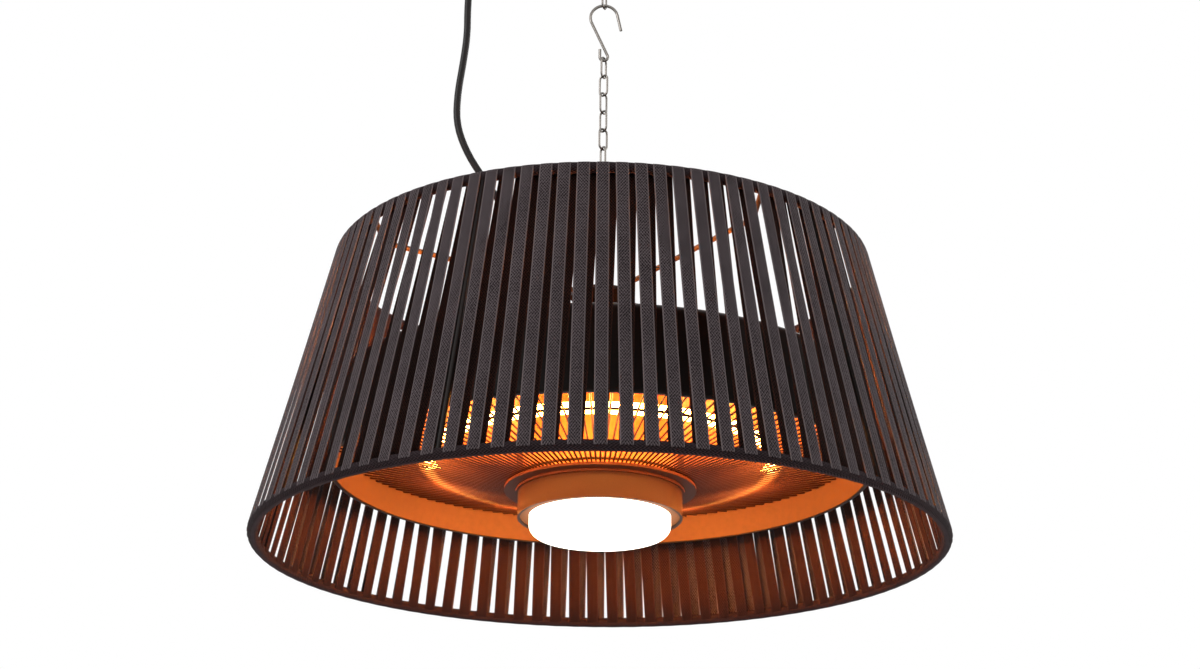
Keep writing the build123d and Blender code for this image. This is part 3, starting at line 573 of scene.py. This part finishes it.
class HEATER_OT_mains_lead(bpy.types.Operator):
    """Mains lead: one cord from the sleeve over the shade to its tied coil and plug"""
    bl_idname = "heater.mains_lead"
    bl_label = "Mains lead"

    def execute(self, context):
        # The cord is a circle of points carried along the route's spline, square to it everywhere
        size = settings()
        first, coil = coil_points()
        route = np.array(LEAD_ROUTE) * MM + np.array(SLEEVE_TIP)
        approach = first[0] - np.array([0, 0, LEAD_LAST_RUN])
        line = spline_points("lead_line", np.concatenate([route, [approach], first, coil]))
        step = np.gradient(line, axis=0)
        step /= np.linalg.norm(step, axis=1, keepdims=True)
        side = np.cross(step, [0, 1.0, 0])
        side /= np.linalg.norm(side, axis=1, keepdims=True)
        front = np.cross(side, step)
        turn = 2 * pi * np.arange(LEAD_SIDES) / LEAD_SIDES
        ring = np.cos(turn)[:, None] * side[:, None, :] + np.sin(turn)[:, None] * front[:, None, :]
        vertices = line[:, None, :] + size.lead_diameter / 2 * ring
        # Rubber sheath, extruded: smooth and near black, a little uneven over 6 mm
        material = plain_grain("extruded_rubber_sheath", "#131112", "#1b1919", 0.4, 160.0, 0.03,
                               specular=0.25)
        faces = tube_faces(len(line), LEAD_SIDES, 0)
        piece = new_piece("mains_lead_cord", vertices.reshape(-1, 3), faces, material)
        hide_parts("mains_lead", "lead_coil")
        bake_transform(piece)
        return {"FINISHED"}


class HEATER_OT_finishes(bpy.types.Operator):
    """Finishes: materials of the metal, glass, ceramic and plastic pieces"""
    bl_idname = "heater.finishes"
    bl_label = "Finishes"

    def execute(self, context):
        links = [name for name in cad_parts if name.startswith("lower_link")]
        assign(zinc_steel(), "top_link", "upper_link", "upper_chain", "s_hook", "eye_bolt", "bolt_nuts",
               "box_screws", *links)
        # Black polyester powder, sprayed and baked: nearly black, with a wide soft highlight
        assign(powder_coat("black_powder_coat", "#17110f", "#211a17", 0.45), "hub_plate",
               "top_ring", "bottom_ring", "frame_rods", "heater_housing", "connection_box")
        # Powder coat on the arms: satin, tinted orange brown all over as painted light, standing for the
        # glow that reaches them from below
        assign(powder_coat("arm_coat_with_painted_glow", "#5c4630", "#6c543c", 0.45), "shade_arms")
        # Heat-proof silicone powder on the grille: dark brown, so the wires stand out on the glow
        assign(powder_coat("silicone_powder_coat", "#2c1a12", "#3d2417", 0.4), "grille_wires",
               "grille_inner_ring", "grille_support_ring", "grille_outer_ring")
        # Brown powders on the lamp's three rings, each of another tone, so that their edges show
        assign(powder_coat("umber_powder_coat", "#4a2616", "#58301c", 0.55), "centre_flange")
        assign(powder_coat("brown_powder_coat", "#372218", "#432c20", 0.45), "lamp_collar")
        assign(powder_coat("pale_bronze_powder_coat", "#8f5a35", "#9f683f", 0.6), "diffuser_bezel")
        assign(reflector_sheet(), "reflector", "core_shell")
        assign(quartz_glow(), "element_ring")
        assign(opal_plastic(), "diffuser")
        # Steatite, pressed and fired unglazed: chalky and dull
        assign(plain_grain("unglazed_steatite", "#cfc6b4", "#e4dccb", 0.7), "element_caps", "thermal_cutout")
        # Stainless strip, rolled and tinted by heat: a dull straw-brown metal
        assign(plain_grain("heat_tinted_stainless", "#6d5a46", "#8d7660", 0.35, metallic=1.0),
               "element_clips", "grille_brackets")
        # Aluminium, pressed and left bare: plain grey metal
        assign(plain_grain("pressed_aluminium", "#8f9092", "#a8a9ab", 0.35, metallic=1.0), "led_heat_sink")
        # White polycarbonate, moulded: clean and satin
        assign(plain_grain("moulded_white_polycarbonate", "#d6d5d0", "#e2e1dc", 0.5), "led_board",
               "led_driver", "terminal_block")
        # Mineral board, pressed from fibre: matt, with clumps of 11 mm
        assign(plain_grain("pressed_mineral_board", "#b7b2a6", "#cdc8bc", 0.9, 90.0, 0.5),
               "insulation_board")
        # Nylon, moulded black: satin and faintly uneven
        assign(plain_grain("moulded_nylon", "#161617", "#222223", 0.45), "cable_gland", "coil_tie")
        # Rubber, moulded: a little greyer and duller than the lead's sheath, with a grain of 2 mm
        assign(plain_grain("moulded_rubber", "#1c1a1a", "#2b2929", 0.5, 500.0, 0.1), "lead_sleeve",
               "plug_body")
        # Brass, turned: warm and bright
        assign(plain_grain("turned_brass", "#b08d4a", "#cba968", 0.25, metallic=1.0), "plug_pins")
        return {"FINISHED"}


# Camera found from the photograph: level distance, depth below the rim, lens in picture widths
IMAGE_WIDTH = 1200
FOCAL_PIXELS = 2255.09
CENTRE_PIXEL_X = 601.47
SENSOR_WIDTH = 36.0
CAMERA_BACK = 1.88317
CAMERA_BELOW_RIM = 0.48955
CAMERA_PITCH = 19.944
CAMERA_ROLL = 0.492

# Studio: soft lights as name, place, power in watts and width, then the floor and the surround
STUDIO_LIGHTS = (("key", (-2.2, -1.7, 0.9), 30.0, 1.4),
                 ("fill", (2.5, 0.3, 0.2), 18.0, 1.6),
                 ("back", (0.4, 2.4, 0.8), 18.0, 1.4))
AIM_ABOVE_RIM = 0.12
FLOOR_BELOW_RIM = 1.35
FLOOR_REACH = 6.0
FLOOR_LIFT = 0.45
SURROUND_LIGHT = 0.38
SURROUND_SEEN = 1.0

# Small lights of the glow
GLOW_UNDER_DRUM = 12 * MM
GLOW_OVER_DRUM = 34 * MM
GLOW_SOFTNESS = 12 * MM
GLOW_WATTS = 0.6


def glow_circle(name, count, radius, z, power):
    """Small soft orange lights evenly round a circle, none seen by the camera; they move with the lamp."""
    for number in range(count):
        turn = 2 * pi * (number + 0.5) / count
        light = bpy.data.lights.new(f"{name}_{number}", "POINT")
        light.energy = power
        light.color = settings().glow_colour
        light.shadow_soft_size = GLOW_SOFTNESS
        lamp = bpy.data.objects.new(light.name, light)
        lamp.location = (radius * cos(turn), radius * sin(turn), z)
        lamp.visible_camera = False
        lamp.visible_glossy = False
        bpy.context.scene.collection.objects.link(lamp)
        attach(lamp, "lamp")


class HEATER_OT_stage(bpy.types.Operator):
    """Stage: pale floor, soft studio light, white surround and the camera"""
    bl_idname = "heater.stage"
    bl_label = "Stage"

    def execute(self, context):
        scene = context.scene
        data = bpy.data.cameras.new("camera")
        data.sensor_width = SENSOR_WIDTH
        data.lens = FOCAL_PIXELS / IMAGE_WIDTH * SENSOR_WIDTH
        data.shift_x = (IMAGE_WIDTH / 2 - CENTRE_PIXEL_X) / IMAGE_WIDTH
        data.clip_start = 0.01
        camera = bpy.data.objects.new("camera", data)
        camera.rotation_mode = "QUATERNION"
        pitch = Quaternion((1, 0, 0), radians(90 + CAMERA_PITCH))
        roll = Quaternion((0, 0, 1), radians(CAMERA_ROLL))
        camera.rotation_quaternion = pitch @ roll
        camera.location = (0, -CAMERA_BACK, RIM_Z - CAMERA_BELOW_RIM)
        scene.collection.objects.link(camera)
        scene.camera = camera

        corners = FLOOR_REACH * np.array([(-1.0, -1, 0), (1, -1, 0), (1, 1, 0), (-1, 1, 0)])
        corners[:, 2] = RIM_Z - FLOOR_BELOW_RIM
        # Painted board, rolled: matt white, cloudy over 125 mm, and paler to the camera alone
        floor_look, tree, shader = new_material("painted_board_floor", Roughness=0.9)
        grain(tree, shader, 8.0, 0.0, "#f0f0ee", "#f6f6f4", 0.9)
        seen = add_node(tree, "ShaderNodeLightPath").outputs["Is Camera Ray"]
        lift = add_node(tree, "ShaderNodeMath", {0: seen, 1: FLOOR_LIFT}, operation="MULTIPLY")
        tree.links.new(lift.outputs[0], shader.inputs["Emission Strength"])
        shader.inputs["Emission Color"].default_value = (1, 1, 1, 1)
        floor = new_piece("floor", corners, [[0, 1, 2, 3]], floor_look, smooth=False)

        world = bpy.data.worlds.new("surround")
        world.use_nodes = True
        scene.world = world
        tree = world.node_tree
        path = add_node(tree, "ShaderNodeLightPath")
        seen = add_node(tree, "ShaderNodeMath", {0: path.outputs["Is Camera Ray"],
                                                 1: path.outputs["Is Glossy Ray"]}, operation="ADD")
        seen = add_node(tree, "ShaderNodeMath", {0: seen.outputs[0],
                                                 1: path.outputs["Is Transmission Ray"]},
                        operation="ADD", use_clamp=True)
        level = add_node(tree, "ShaderNodeMapRange",
                         {0: seen.outputs[0], 3: SURROUND_LIGHT, 4: SURROUND_SEEN})
        tree.links.new(level.outputs[0], tree.nodes["Background"].inputs["Strength"])
        tree.nodes["Background"].inputs["Color"].default_value = (1, 1, 1, 1)

        for name, place, power, width in STUDIO_LIGHTS:
            light = bpy.data.lights.new(name, "AREA")
            light.energy = power
            light.size = width
            lamp = bpy.data.objects.new(name, light)
            lamp.location = place
            aim = np.array([0, 0, RIM_Z + AIM_ABOVE_RIM]) - np.array(place)
            level_run = hypot(aim[0], aim[1])
            lamp.rotation_euler = (atan2(level_run, -aim[2]), 0, atan2(aim[1], aim[0]) - pi / 2)
            scene.collection.objects.link(lamp)
        # The ring's glow under the grille, and the little that escapes over the drum
        below = float(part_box("heater_housing")[0][2]) - GLOW_UNDER_DRUM
        above = float(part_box("heater_housing")[1][2]) + GLOW_OVER_DRUM
        glow_circle("glow_below", 10, 0.15, below, GLOW_WATTS)
        glow_circle("glow_above", 14, 0.2, above, GLOW_WATTS)
        scene.view_settings.view_transform = "Standard"
        return {"FINISHED"}


class HEATER_PT_panel(bpy.types.Panel):
    """Sidebar panel that lists the sizes and the pieces"""
    bl_label = "Patio heater"
    bl_idname = "HEATER_PT_panel"
    bl_space_type = "VIEW_3D"
    bl_region_type = "UI"
    bl_category = "Heater"

    def draw(self, context):
        for name in HeaterSettings.__annotations__:
            self.layout.prop(context.scene.heater, name)
        for operator in OPERATORS:
            self.layout.operator(operator.bl_idname)


OPERATORS = (HEATER_OT_stage, HEATER_OT_mains_lead, HEATER_OT_outer_straps, HEATER_OT_inner_straps,
             HEATER_OT_rim_bands, HEATER_OT_finishes)


def register():
    for item in (HeaterSettings, *OPERATORS, HEATER_PT_panel):
        bpy.utils.register_class(item)
    bpy.types.Scene.heater = bpy.props.PointerProperty(type=HeaterSettings)


def unregister():
    del bpy.types.Scene.heater
    for item in (HEATER_PT_panel, *reversed(OPERATORS), HeaterSettings):
        bpy.utils.unregister_class(item)


def main():
    register()
    bpy.ops.heater.stage()
    bpy.ops.heater.mains_lead()
    bpy.ops.heater.outer_straps()
    bpy.ops.heater.inner_straps()
    bpy.ops.heater.rim_bands()
    bpy.ops.heater.finishes()


if __name__ == "__main__":
    main()
